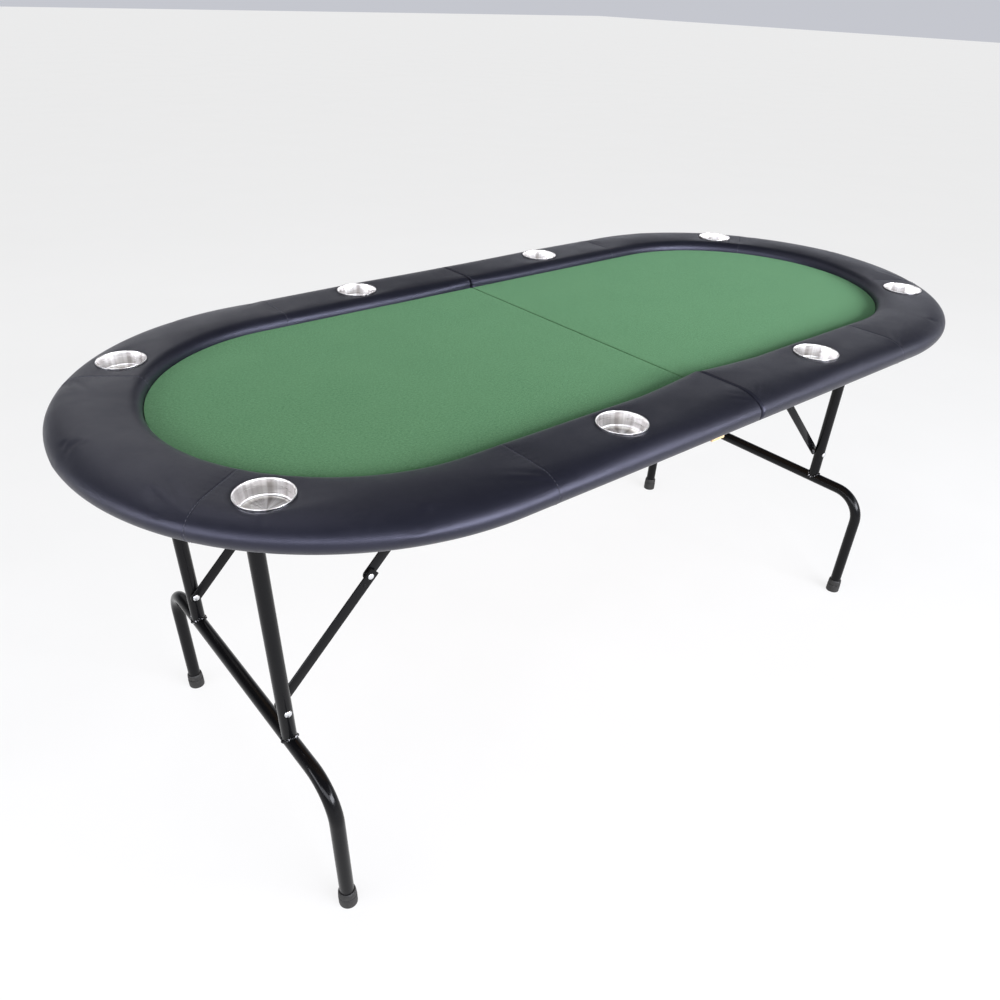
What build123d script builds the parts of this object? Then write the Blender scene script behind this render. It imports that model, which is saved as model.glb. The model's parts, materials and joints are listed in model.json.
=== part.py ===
from build123d import *
import os
from math import atan2, cos, degrees, hypot, radians, sin

# A folding poker table: two padded halves hinged across the middle, each on its own
# folding leg frame of bent tube held open by a pair of two-bar braces.
# Millimetres, +Z up, +X along the length; the origin is on the floor under the middle.

# ---- Driving dimensions ----
TABLE_LENGTH = 1830.0
TABLE_WIDTH = 874.0
TABLE_HEIGHT = 760.0
FOLD_GAP = 1.0

RAIL_WIDTH = 135.0
CLOTH_DROP = 20.0
RAIL_SHOULDER = 49.0
RAIL_UPPER_DEPTH = 25.0
RAIL_UNDERCUT = 30.0
RAIL_INNER_ROUND = 18.0

BASE_BOARD = 12.0
DECK_BOARD = 18.0
DECK_FOAM = 8.0
PLAYING_CLOTH = 2.0
BOARD_INSET = 38.0
PANEL_GAP = 0.5
FRAME_MARGIN = 4.0
FRAME_WIDTH = 97.0

CUP_LINE = 365.0
CUP_STRAIGHT_X = 243.0
CUP_END_ANGLE = 44.0
CUP_RADIUS = 36.3
CUP_RIM_RADIUS = 39.5
CUP_WALL = 0.8
CUP_CORNER = 5.0
CUP_FLOOR_GAP = 1.0
CUP_HOLE_RADIUS = 36.6
CUP_RIM_HEIGHT = 1.2

TUBE_RADIUS = 12.0
TUBE_WALL = 1.4
LEG_BASE_X = 711.5
LEG_SLOPE = 0.03277
FOOT_Y = 315.0
UPRIGHT_Y = 180.0
CROSS_TUBE_Z = 266.0
BEND_RADIUS = 65.0
FOOT_RADIUS = 15.5
FOOT_HEIGHT = 32.0
FOOT_SOLE = 5.0
FOOT_GROOVE_HEIGHT = 20.0
FOOT_GROOVE = 1.2

PIVOT_DROP = 18.0
PIVOT_RADIUS = 4.0
UPRIGHT_ABOVE_PIVOT = 9.0
BRACKET_PLATE = 2.0
BRACKET_LENGTH = 62.0
BRACKET_WIDTH = 62.0
EAR_RADIUS = 12.0
SIDE_CLEARANCE = 0.3
RUNNING_FIT = 0.05

BRACE_RIVET_Z = 332.0
BRACE_ANCHOR_X = 368.6
LINK_WIDTH = 19.0
LINK_THICKNESS = 3.0
LOWER_LINK_Y = 163.0
UPPER_LINK_Y = 156.2
RIVET_RADIUS = 3.5
RIVET_HEAD_RADIUS = 6.0
RIVET_HEAD = 3.0

BATTEN_WIDTH = 30.0
BATTEN_DEPTH = 30.0
BATTEN_HALF_LENGTH = {-1: 376.0, 1: 345.0}
HINGE_PLACES = (-300.0, 0.0, 300.0)
HINGE_KNUCKLES = 5
KNUCKLE_LENGTH = 15.0
KNUCKLE_RADIUS = 3.6
KNUCKLE_GAP = 0.2
HINGE_PIN_RADIUS = 1.6
HINGE_LEAF = 1.5
HINGE_LEAF_WIDTH = 28.0

SCREW_RADIUS = 2.0
SCREW_HEAD_RADIUS = 4.0
SCREW_HEAD = 2.0

SIDES = {"left": -1, "right": 1}
ENDS = {"near": -1, "far": 1}

# ---- Derived dimensions ----
OUTER_RADIUS = TABLE_WIDTH / 2
INNER_RADIUS = OUTER_RADIUS - RAIL_WIDTH
ARC_X = TABLE_LENGTH / 2 - OUTER_RADIUS
FOLD_X = FOLD_GAP / 2

CLOTH_TOP = TABLE_HEIGHT - CLOTH_DROP
CLOTH_BOTTOM = CLOTH_TOP - PLAYING_CLOTH
FOAM_BOTTOM = CLOTH_BOTTOM - DECK_FOAM
DECK_BOTTOM = FOAM_BOTTOM - DECK_BOARD
UNDERSIDE = DECK_BOTTOM - BASE_BOARD

FRAME_INNER = INNER_RADIUS + FRAME_MARGIN
FRAME_OUTER = FRAME_INNER + FRAME_WIDTH
SHOULDER_Z = TABLE_HEIGHT - RAIL_UPPER_DEPTH

LEAN = atan2(LEG_SLOPE, 1.0)
PIVOT_Z = UNDERSIDE - PIVOT_DROP
PIVOT_X = LEG_BASE_X + LEG_SLOPE * PIVOT_Z
EAR_Y = TUBE_RADIUS + SIDE_CLEARANCE
BRACKET_TOP_GAP = PIVOT_DROP - BRACKET_PLATE

# The brace lies straight from the upright's rivet to its anchor when the leg is open, and
# its two bars lie along the upright when the leg is folded up under the board.
BRACE_RIVET_X = LEG_BASE_X + LEG_SLOPE * BRACE_RIVET_Z
FOLDED_RIVET_X = PIVOT_X - hypot(PIVOT_X - BRACE_RIVET_X, PIVOT_Z - BRACE_RIVET_Z)
BRACE_SPAN = hypot(BRACE_RIVET_X - BRACE_ANCHOR_X, PIVOT_Z - BRACE_RIVET_Z)
LOWER_LINK = (BRACE_SPAN - (FOLDED_RIVET_X - BRACE_ANCHOR_X)) / 2
UPPER_LINK = BRACE_SPAN - LOWER_LINK
JOINT_SHARE = LOWER_LINK / BRACE_SPAN
BRACE_JOINT_X = BRACE_RIVET_X + (BRACE_ANCHOR_X - BRACE_RIVET_X) * JOINT_SHARE
BRACE_JOINT_Z = BRACE_RIVET_Z + (PIVOT_Z - BRACE_RIVET_Z) * JOINT_SHARE

BATTEN_BOTTOM = UNDERSIDE - BATTEN_DEPTH
HINGE_PIN_Z = BATTEN_BOTTOM - KNUCKLE_RADIUS - 0.1
HINGE_LENGTH = HINGE_KNUCKLES * KNUCKLE_LENGTH


# ---- Helpers ----
def keep(builder, name):
    """Label a finished piece and write it to its own file."""
    builder.part.label = name
    export_step(builder.part, f"parts/{name}.step")


def bar_along_y(x, y, z, radius, length, mode=Mode.ADD):
    """A round bar along Y, centred on (x, y, z)."""
    with Locations(Location((x, y, z), (90, 0, 0))):
        Cylinder(radius, length, mode=mode)


def half_outline(side, radius):
    """The plan of one half: straight to the fold and half round at its end."""
    with Locations((side * (FOLD_X + ARC_X) / 2, 0)):
        Rectangle(ARC_X - FOLD_X, 2 * radius)
    with Locations((side * ARC_X, 0)):
        Circle(radius)


def leg_plane(side):
    """The leaning plane that the leg frame lies in: local x is +Y, local y is up the leg."""
    return Plane(
        origin=(side * LEG_BASE_X, 0, 0),
        x_dir=(0, 1, 0),
        z_dir=(cos(LEAN), 0, -side * sin(LEAN)),
    )


def across_leg(side, y, height):
    """A plane square to the leg's length, centred on it at a height above the floor."""
    return Plane(
        origin=(side * (LEG_BASE_X + LEG_SLOPE * height), y, height),
        x_dir=(0, 1, 0),
        z_dir=(side * sin(LEAN), 0, cos(LEAN)),
    )


def cup_centres(side):
    """The four cup holders of one half: two on the straights, two on the round end."""
    turn = radians(CUP_END_ANGLE)
    end_x = ARC_X + CUP_LINE * cos(turn)
    end_y = CUP_LINE * sin(turn)
    places = {}
    for end, sign in ENDS.items():
        places[f"inner_{end}"] = (side * CUP_STRAIGHT_X, sign * CUP_LINE)
        places[f"end_{end}"] = (side * end_x, sign * end_y)
    return places


def rail_screw_places(side):
    """Screws that come up through the base board into the rail's wooden frame."""
    line = FRAME_INNER + 9.0
    places = [(side * x, y) for x in (60.0, 380.0) for y in (-line, line)]
    for angle in (-70.0, -25.0, 25.0, 70.0):
        turn = radians(angle)
        places.append((side * (ARC_X + line * cos(turn)), line * sin(turn)))
    return places


def bracket_screw_places(side):
    """Four screws for each leg bracket and two for each brace anchor."""
    places = []
    for sign in ENDS.values():
        for dx in (-22.0, 22.0):
            for dy in (-23.0, 23.0):
                places.append((side * (PIVOT_X + dx), sign * UPRIGHT_Y + dy))
        for dx in (-14.0, 14.0):
            places.append((side * (BRACE_ANCHOR_X + dx), sign * (UPPER_LINK_Y - 14.0)))
    return places


def hinge_screw_places(side):
    """Three screws through each hinge leaf."""
    return [
        (side * (HINGE_LEAF_WIDTH * 0.62), place + dy)
        for place in HINGE_PLACES
        for dy in (-26.0, 0.0, 26.0)
    ]


def wood_screws(places, seat, length):
    """Round-headed screws driven up from a seat, as a group of separate solids."""
    with BuildPart() as screws:
        with BuildSketch(Plane.XY.offset(seat - SCREW_HEAD)):
            with Locations(*places):
                Circle(SCREW_HEAD_RADIUS)
        extrude(amount=SCREW_HEAD)
        chamfer(screws.faces().sort_by(Axis.Z)[: len(places)].edges(), SCREW_HEAD * 0.45)
        with BuildSketch(Plane.XY.offset(seat)):
            with Locations(*places):
                Circle(SCREW_RADIUS)
        extrude(amount=length)
    return screws


def drill(places, bottom, depth, radius=SCREW_RADIUS):
    """Round holes straight up into the piece being made."""
    with Locations(*[(x, y, bottom + depth / 2) for x, y in places]):
        Cylinder(radius, depth, mode=Mode.SUBTRACT)


# ---- Boards, foam and cloth ----
def base_board(side):
    with BuildPart() as board:
        with BuildSketch(Plane.XY.offset(UNDERSIDE)):
            half_outline(side, OUTER_RADIUS - BOARD_INSET)
        extrude(amount=BASE_BOARD)
        drill(rail_screw_places(side), UNDERSIDE, BASE_BOARD)
        drill(bracket_screw_places(side), UNDERSIDE, BASE_BOARD - 2)
    return board


def inner_panel(side, bottom, thickness):
    """A layer of the playing surface, inside the rail."""
    with BuildPart() as panel:
        with BuildSketch(Plane.XY.offset(bottom)):
            half_outline(side, INNER_RADIUS - PANEL_GAP)
        extrude(amount=thickness)
    return panel


# ---- Rail ----
def rail_frame(side):
    """The wooden ring inside the padded rail, bored for the cup holders."""
    with BuildPart() as ring:
        with BuildSketch(Plane.XY.offset(DECK_BOTTOM)) as plan:
            half_outline(side, FRAME_OUTER)
            with Locations((side * ARC_X / 2, 0)):
                Rectangle(ARC_X, 2 * FRAME_INNER, mode=Mode.SUBTRACT)
            with Locations((side * ARC_X, 0)):
                Circle(FRAME_INNER, mode=Mode.SUBTRACT)
        extrude(amount=DECK_BOARD)
        drill(cup_centres(side).values(), DECK_BOTTOM, DECK_BOARD, CUP_HOLE_RADIUS)
        drill(rail_screw_places(side), DECK_BOTTOM, DECK_BOARD - 3)
    return ring


def rail_section(plane):
    """The padded rail's cross-section, hollowed below to sit over its wooden frame."""
    frame_top = DECK_BOTTOM + DECK_BOARD
    shoulder = OUTER_RADIUS - RAIL_SHOULDER
    undercut = OUTER_RADIUS - RAIL_UNDERCUT
    inner_round = INNER_RADIUS + RAIL_INNER_ROUND
    with BuildSketch(plane) as section:
        with BuildLine():
            Line((inner_round, TABLE_HEIGHT), (shoulder, TABLE_HEIGHT))
            EllipticalCenterArc(
                (shoulder, SHOULDER_Z), RAIL_SHOULDER, RAIL_UPPER_DEPTH, start_angle=0, arc_size=90
            )
            EllipticalCenterArc(
                (undercut, SHOULDER_Z),
                RAIL_UNDERCUT,
                SHOULDER_Z - DECK_BOTTOM,
                start_angle=270,
                arc_size=90,
            )
            Polyline(
                (undercut, DECK_BOTTOM),
                (FRAME_OUTER, DECK_BOTTOM),
                (FRAME_OUTER, frame_top),
                (FRAME_INNER, frame_top),
                (FRAME_INNER, DECK_BOTTOM),
                (INNER_RADIUS, DECK_BOTTOM),
                (INNER_RADIUS, TABLE_HEIGHT - RAIL_INNER_ROUND),
            )
            CenterArc((inner_round, TABLE_HEIGHT - RAIL_INNER_ROUND), RAIL_INNER_ROUND, 90, 90)
        make_face()
    return section.sketch


def rail_pad(side):
    """Foam under vinyl: two straights and the round end, with holes for the cup holders."""
    end_axis = Axis((side * ARC_X, 0, 0), (0, 0, -side))
    with BuildPart() as pad:
        extrude(rail_section(Plane.YZ.offset(side * FOLD_X)), amount=side * (ARC_X - FOLD_X))
        mirror(about=Plane.XZ)
        revolve(rail_section(Plane.YZ.offset(side * ARC_X)), axis=end_axis, revolution_arc=180)
        drill(cup_centres(side).values(), DECK_BOTTOM, TABLE_HEIGHT - DECK_BOTTOM, CUP_HOLE_RADIUS)
    return pad


def cup_holder(centre):
    """A drawn steel cup that drops into the rail and hangs by its rim."""
    floor = DECK_BOTTOM + CUP_FLOOR_GAP
    with BuildPart() as cup:
        with BuildSketch(Plane(origin=(*centre, 0), x_dir=(1, 0, 0), z_dir=(0, -1, 0))):
            with BuildLine():
                Polyline(
                    (0, floor),
                    (CUP_RADIUS, floor),
                    (CUP_RADIUS, TABLE_HEIGHT),
                    (CUP_RIM_RADIUS, TABLE_HEIGHT),
                    (CUP_RIM_RADIUS, TABLE_HEIGHT + CUP_RIM_HEIGHT),
                    (CUP_RADIUS - CUP_WALL, TABLE_HEIGHT + CUP_RIM_HEIGHT),
                    (CUP_RADIUS - CUP_WALL, floor + CUP_WALL),
                    (0, floor + CUP_WALL),
                    close=True,
                )
            make_face()
        revolve(axis=Axis((*centre, 0), (0, 0, 1)))
        outer_corner = cup.faces().sort_by(Axis.Z)[0].outer_wire().edges()
        fillet(outer_corner, CUP_CORNER)
    return cup


# ---- Hinges and battens ----
def centre_batten(side):
    """The strip of pine beside the fold that stiffens the board and takes the hinges."""
    with BuildPart() as batten:
        with Locations((side * (FOLD_X + BATTEN_WIDTH / 2), 0, UNDERSIDE - BATTEN_DEPTH / 2)):
            Box(BATTEN_WIDTH, 2 * BATTEN_HALF_LENGTH[side], BATTEN_DEPTH)
        drill(hinge_screw_places(side), BATTEN_BOTTOM, 22.0)
    return batten


def hinge_leaves(side):
    """Three butt-hinge leaves; the left one has the odd knuckles, the right one the even."""
    own = 0 if side < 0 else 1
    clear = KNUCKLE_RADIUS + 0.5
    with BuildPart() as leaves:
        for place in HINGE_PLACES:
            with Locations(
                (side * (clear + HINGE_LEAF_WIDTH) / 2, place, BATTEN_BOTTOM - HINGE_LEAF / 2)
            ):
                Box(HINGE_LEAF_WIDTH - clear, HINGE_LENGTH, HINGE_LEAF)
            for index in range(own, HINGE_KNUCKLES, 2):
                y = place - HINGE_LENGTH / 2 + (index + 0.5) * KNUCKLE_LENGTH
                length = KNUCKLE_LENGTH - KNUCKLE_GAP
                bar_along_y(0, y, HINGE_PIN_Z, KNUCKLE_RADIUS, length)
                with Locations((side * (clear + 1) / 2, y, BATTEN_BOTTOM - HINGE_LEAF / 2 - 0.1)):
                    Box(clear + 1, length, HINGE_LEAF - 0.2)
            bar_along_y(
                0, place, HINGE_PIN_Z, HINGE_PIN_RADIUS + RUNNING_FIT, HINGE_LENGTH + 2, Mode.SUBTRACT
            )
        drill(hinge_screw_places(side), BATTEN_BOTTOM - HINGE_LEAF, HINGE_LEAF)
    return leaves


def hinge_pins():
    with BuildPart() as pins:
        for place in HINGE_PLACES:
            bar_along_y(0, place, HINGE_PIN_Z, HINGE_PIN_RADIUS, HINGE_LENGTH)
    return pins


# ---- Legs ----
def leg_tube(side):
    """One tube bent down at both ends: the cross tube and its two lower legs."""
    start = FOOT_SOLE / cos(LEAN)
    height = CROSS_TUBE_Z / cos(LEAN)
    with BuildPart() as tube:
        with BuildLine(leg_plane(side)) as route:
            FilletPolyline(
                (-FOOT_Y, start), (-FOOT_Y, height), (FOOT_Y, height), (FOOT_Y, start),
                radius=BEND_RADIUS,
            )
        with BuildSketch(Plane(origin=route.line @ 0, z_dir=route.line % 0)):
            Circle(TUBE_RADIUS)
            Circle(TUBE_RADIUS - TUBE_WALL, mode=Mode.SUBTRACT)
        sweep()
    return tube


def uprights(side):
    """Two tubes, coped over the cross tube and drilled for the pivot bolt and brace rivet."""
    cross_x = side * (LEG_BASE_X + LEG_SLOPE * CROSS_TUBE_Z)
    length = (PIVOT_Z + UPRIGHT_ABOVE_PIVOT - CROSS_TUBE_Z) / cos(LEAN)
    with BuildPart() as tubes:
        with BuildSketch(across_leg(side, UPRIGHT_Y, CROSS_TUBE_Z)):
            Circle(TUBE_RADIUS)
            Circle(TUBE_RADIUS - TUBE_WALL, mode=Mode.SUBTRACT)
        extrude(amount=length)
        bar_along_y(cross_x, UPRIGHT_Y, CROSS_TUBE_Z, TUBE_RADIUS, 60, Mode.SUBTRACT)
        bar_along_y(
            side * PIVOT_X, UPRIGHT_Y, PIVOT_Z, PIVOT_RADIUS + RUNNING_FIT, 60, Mode.SUBTRACT
        )
        bar_along_y(side * BRACE_RIVET_X, UPRIGHT_Y, BRACE_RIVET_Z, RIVET_RADIUS, 60, Mode.SUBTRACT)
        mirror(about=Plane.XZ)
    return tubes


def feet(side):
    """Rubber caps, with a groove round them, cut level where they meet the floor."""
    with BuildPart() as caps:
        with BuildSketch(across_leg(side, FOOT_Y, -FOOT_SOLE)):
            Circle(FOOT_RADIUS)
        extrude(amount=FOOT_HEIGHT + FOOT_SOLE)
        with BuildSketch(across_leg(side, FOOT_Y, FOOT_SOLE)):
            Circle(TUBE_RADIUS)
        extrude(amount=FOOT_HEIGHT, mode=Mode.SUBTRACT)
        with BuildSketch(across_leg(side, FOOT_Y, FOOT_GROOVE_HEIGHT)):
            Circle(FOOT_RADIUS + 1)
            Circle(FOOT_RADIUS - FOOT_GROOVE, mode=Mode.SUBTRACT)
        extrude(amount=FOOT_GROOVE, mode=Mode.SUBTRACT)
        split(bisect_by=Plane.XY, keep=Keep.TOP)
        mirror(about=Plane.XZ)
    return caps


def ear(x, y, top, thickness):
    """A round-ended lug that hangs from a plate and carries a pivot."""
    with Locations((x, y, (top + PIVOT_Z) / 2)):
        Box(2 * EAR_RADIUS, thickness, top - PIVOT_Z)
    bar_along_y(x, y, PIVOT_Z, EAR_RADIUS, thickness)


def leg_brackets(side):
    """Steel brackets under the board that the uprights swing in."""
    x = side * PIVOT_X
    ear_span = 2 * (EAR_Y + BRACKET_PLATE)
    with BuildPart() as brackets:
        with Locations((x, UPRIGHT_Y, UNDERSIDE - BRACKET_PLATE / 2)):
            Box(BRACKET_LENGTH, BRACKET_WIDTH, BRACKET_PLATE)
        for sign in (-1, 1):
            y = UPRIGHT_Y + sign * (EAR_Y + BRACKET_PLATE / 2)
            ear(x, y, UNDERSIDE - BRACKET_PLATE, BRACKET_PLATE)
        bar_along_y(x, UPRIGHT_Y, PIVOT_Z, PIVOT_RADIUS, ear_span + 2, Mode.SUBTRACT)
        mirror(about=Plane.XZ)
        drill(bracket_screw_places(side), UNDERSIDE - BRACKET_PLATE, BRACKET_PLATE)
    return brackets


def pivot_bolts(side):
    """A bolt through each bracket and upright, with a round head and a hexagon nut."""
    x = side * PIVOT_X
    outside = EAR_Y + BRACKET_PLATE
    head, nut = 3.5, 5.0
    with BuildPart() as bolts:
        bar_along_y(x, UPRIGHT_Y, PIVOT_Z, PIVOT_RADIUS, 2 * outside)
        bar_along_y(x, UPRIGHT_Y + outside + head / 2, PIVOT_Z, 7.0, head)
        nut_face = Plane(origin=(x, UPRIGHT_Y - outside, PIVOT_Z), x_dir=(1, 0, 0), z_dir=(0, -1, 0))
        with BuildSketch(nut_face):
            RegularPolygon(7.0, 6)
        extrude(amount=nut)
        mirror(about=Plane.XZ)
    return bolts


# ---- Braces ----
def link_plane(side, end, start, stop, y):
    """A plane at a link's outer face: local x runs from its start pivot to its stop pivot."""
    middle = ((start[0] + stop[0]) / 2, (start[1] + stop[1]) / 2)
    return Plane(
        origin=(side * middle[0], end * y, middle[1]),
        x_dir=(side * (stop[0] - start[0]), 0, stop[1] - start[1]),
        z_dir=(0, -1, 0),
    )


def link(side, end, start, stop, y, bores):
    """A flat bar with round ends and a hole at each pivot."""
    length = hypot(stop[0] - start[0], stop[1] - start[1])
    with BuildPart() as bar:
        with BuildSketch(link_plane(side, end, start, stop, y + LINK_THICKNESS / 2)):
            SlotCenterToCenter(length, LINK_WIDTH)
            for place, radius in zip((-length / 2, length / 2), bores):
                with Locations((place, 0)):
                    Circle(radius, mode=Mode.SUBTRACT)
        extrude(amount=LINK_THICKNESS / 2, both=True)
    return bar


def brace_rivets(side):
    """Rivets through the uprights that the lower links turn on."""
    inner_face = UPRIGHT_Y - TUBE_RADIUS
    outer_face = UPRIGHT_Y + TUBE_RADIUS
    link_outer = LOWER_LINK_Y + LINK_THICKNESS
    x = side * BRACE_RIVET_X
    with BuildPart() as rivets:
        shank = outer_face - LOWER_LINK_Y
        bar_along_y(x, (outer_face + LOWER_LINK_Y) / 2, BRACE_RIVET_Z, RIVET_RADIUS, shank)
        collar = inner_face - link_outer
        bar_along_y(x, inner_face - collar / 2, BRACE_RIVET_Z, RIVET_HEAD_RADIUS, collar)
        for face, away in ((outer_face, 1), (LOWER_LINK_Y, -1)):
            y = face + away * RIVET_HEAD / 2
            bar_along_y(x, y, BRACE_RIVET_Z, RIVET_HEAD_RADIUS, RIVET_HEAD)
            rim = rivets.faces().sort_by(Axis.Y)[-1 if away > 0 else 0].edges()
            fillet(rim, RIVET_HEAD * 0.6)
        mirror(about=Plane.XZ)
    return rivets


def middle_rivet(side, end):
    """The rivet at a brace's middle joint, fixed in the lower link."""
    gap = 0.3
    outer_head = 1.2
    inner_end = UPPER_LINK_Y + LINK_THICKNESS + gap
    outer_face = LOWER_LINK_Y + LINK_THICKNESS
    x, z = side * BRACE_JOINT_X, BRACE_JOINT_Z
    with BuildPart() as rivet:
        length = outer_face - inner_end
        bar_along_y(x, end * (inner_end + length / 2), z, RIVET_RADIUS, length)
        bar_along_y(x, end * (outer_face + outer_head / 2), z, RIVET_HEAD_RADIUS - 1, outer_head)
        collar = LOWER_LINK_Y - inner_end
        bar_along_y(x, end * (inner_end + collar / 2), z, RIVET_HEAD_RADIUS, collar)
    return rivet


def brace_anchors(side):
    """Angle brackets under the board that the upper links hang from."""
    x = side * BRACE_ANCHOR_X
    plate_width = 24.0
    outer = UPPER_LINK_Y - SIDE_CLEARANCE
    with BuildPart() as anchors:
        with Locations((x, outer - plate_width / 2, UNDERSIDE - BRACKET_PLATE / 2)):
            Box(42.0, plate_width, BRACKET_PLATE)
        ear(x, outer - BRACKET_PLATE / 2, UNDERSIDE - BRACKET_PLATE, BRACKET_PLATE)
        bar_along_y(x, outer, PIVOT_Z, RIVET_RADIUS, 10, Mode.SUBTRACT)
        mirror(about=Plane.XZ)
        drill(bracket_screw_places(side), UNDERSIDE - BRACKET_PLATE, BRACKET_PLATE)
    return anchors


def anchor_rivets(side):
    """Rivets that the upper links turn on, fixed in the anchors."""
    x = side * BRACE_ANCHOR_X
    back = UPPER_LINK_Y - SIDE_CLEARANCE - BRACKET_PLATE
    front = UPPER_LINK_Y + LINK_THICKNESS
    head, radius = 2.0, RIVET_HEAD_RADIUS - 1
    with BuildPart() as rivets:
        bar_along_y(x, (back + front) / 2, PIVOT_Z, RIVET_RADIUS, front - back)
        bar_along_y(x, back - head / 2, PIVOT_Z, radius, head)
        bar_along_y(x, front + head / 2, PIVOT_Z, radius, head)
        mirror(about=Plane.XZ)
    return rivets


# ---- Build every piece ----
os.makedirs("parts", exist_ok=True)

LOWER_PIVOT = (BRACE_RIVET_X, BRACE_RIVET_Z)
MIDDLE_PIVOT = (BRACE_JOINT_X, BRACE_JOINT_Z)
UPPER_PIVOT = (BRACE_ANCHOR_X, PIVOT_Z)
TURNING_BORE = RIVET_RADIUS + RUNNING_FIT

for name, side in SIDES.items():
    keep(base_board(side), f"base_board_{name}")
    keep(inner_panel(side, DECK_BOTTOM, DECK_BOARD), f"deck_board_{name}")
    keep(inner_panel(side, FOAM_BOTTOM, DECK_FOAM), f"deck_foam_{name}")
    keep(inner_panel(side, CLOTH_BOTTOM, PLAYING_CLOTH), f"playing_cloth_{name}")
    keep(rail_frame(side), f"rail_frame_{name}")
    keep(rail_pad(side), f"rail_pad_{name}")
    for place, centre in cup_centres(side).items():
        keep(cup_holder(centre), f"cup_holder_{name}_{place}")
    keep(centre_batten(side), f"centre_batten_{name}")
    keep(hinge_leaves(side), f"hinge_leaves_{name}")
    keep(leg_tube(side), f"leg_tube_{name}")
    keep(uprights(side), f"leg_uprights_{name}")
    keep(feet(side), f"rubber_feet_{name}")
    keep(leg_brackets(side), f"leg_brackets_{name}")
    keep(pivot_bolts(side), f"leg_pivot_bolts_{name}")
    keep(brace_rivets(side), f"brace_rivets_{name}")
    keep(brace_anchors(side), f"brace_anchors_{name}")
    keep(anchor_rivets(side), f"anchor_rivets_{name}")
    for place, end in ENDS.items():
        lower_bores = (TURNING_BORE, RIVET_RADIUS)
        lower = link(side, end, LOWER_PIVOT, MIDDLE_PIVOT, LOWER_LINK_Y, lower_bores)
        keep(lower, f"lower_link_{name}_{place}")
        upper_bores = (TURNING_BORE, TURNING_BORE)
        upper = link(side, end, UPPER_PIVOT, MIDDLE_PIVOT, UPPER_LINK_Y, upper_bores)
        keep(upper, f"upper_link_{name}_{place}")
        keep(middle_rivet(side, end), f"brace_joint_rivet_{name}_{place}")
    rail_seat = wood_screws(rail_screw_places(side), UNDERSIDE, BASE_BOARD + DECK_BOARD - 3)
    keep(rail_seat, f"rail_screws_{name}")
    bracket_seat = UNDERSIDE - BRACKET_PLATE
    bracket_screws = wood_screws(
        bracket_screw_places(side), bracket_seat, BRACKET_PLATE + BASE_BOARD - 2
    )
    keep(bracket_screws, f"bracket_screws_{name}")
    hinge_seat = BATTEN_BOTTOM - HINGE_LEAF
    keep(wood_screws(hinge_screw_places(side), hinge_seat, 22.0), f"hinge_screws_{name}")

keep(hinge_pins(), "hinge_pins")

FOLD_ANGLE = 90.0 - degrees(LEAN)
LINK_TILT = degrees(atan2(PIVOT_Z - BRACE_RIVET_Z, BRACE_RIVET_X - BRACE_ANCHOR_X))
print("leg pivot x, z:", PIVOT_X, PIVOT_Z, "fold", FOLD_ANGLE)
print("brace rivet:", LOWER_PIVOT, "joint:", MIDDLE_PIVOT, "anchor:", UPPER_PIVOT)
print("lower link ratio:", (180.0 - LINK_TILT - FOLD_ANGLE) / FOLD_ANGLE)
print("upper link ratio:", -LINK_TILT / FOLD_ANGLE)
print("hinge pin z:", HINGE_PIN_Z)
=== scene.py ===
import json
import math

import bmesh
import bpy
import numpy as np
from mathutils import Matrix, Vector

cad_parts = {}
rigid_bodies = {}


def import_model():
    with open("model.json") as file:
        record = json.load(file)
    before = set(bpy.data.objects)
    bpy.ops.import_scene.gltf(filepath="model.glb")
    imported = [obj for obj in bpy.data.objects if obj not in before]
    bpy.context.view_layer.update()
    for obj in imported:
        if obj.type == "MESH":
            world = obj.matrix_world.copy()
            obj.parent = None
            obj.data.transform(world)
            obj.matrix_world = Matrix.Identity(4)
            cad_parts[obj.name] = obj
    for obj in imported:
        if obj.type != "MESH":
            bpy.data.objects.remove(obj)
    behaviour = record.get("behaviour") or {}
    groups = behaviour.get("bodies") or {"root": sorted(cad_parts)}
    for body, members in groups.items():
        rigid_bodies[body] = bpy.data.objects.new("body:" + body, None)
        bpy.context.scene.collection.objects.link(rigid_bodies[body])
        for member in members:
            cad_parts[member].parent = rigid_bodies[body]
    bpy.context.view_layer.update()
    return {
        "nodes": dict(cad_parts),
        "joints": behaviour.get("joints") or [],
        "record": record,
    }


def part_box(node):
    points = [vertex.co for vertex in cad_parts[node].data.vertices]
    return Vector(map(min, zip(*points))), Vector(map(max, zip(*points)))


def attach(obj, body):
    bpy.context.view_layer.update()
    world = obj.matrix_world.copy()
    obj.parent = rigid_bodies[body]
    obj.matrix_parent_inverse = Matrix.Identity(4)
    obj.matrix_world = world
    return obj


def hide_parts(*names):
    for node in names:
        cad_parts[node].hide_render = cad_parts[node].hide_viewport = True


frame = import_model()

scene = bpy.context.scene
MM = 0.001
SIDES = {"left": -1, "right": 1}
ENDS = {"near": -1, "far": 1}

# ---- Sizes from the frame, in metres ----
rail_low, rail_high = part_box("rail_pad_right")
cloth_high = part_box("playing_cloth_right")[1]
frame_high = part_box("rail_frame_right")[1]
foot_low, foot_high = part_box("rubber_feet_right")
OUTER = rail_high.y
ARC_X = rail_high.x - OUTER
FOLD_X = rail_low.x
TOP = rail_high.z
UNDER = rail_low.z
CLOTH_Z = cloth_high.z
INNER = cloth_high.y + 0.5 * MM
FRAME_TOP = frame_high.z
FRAME_OUTER = frame_high.y
FRAME_INNER = INNER + 4 * MM
FOOT_RADIUS = 15.5 * MM
FOOT_Y = (foot_high.y - foot_low.y) / 2 - FOOT_RADIUS
JOINTS = {joint["name"]: joint for joint in frame["joints"]}
PIVOT = Vector(JOINTS["right_leg_fold"]["pos_m"])
BRACE_LOW = Vector(JOINTS["right_far_lower_link_turn"]["pos_m"])
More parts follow.
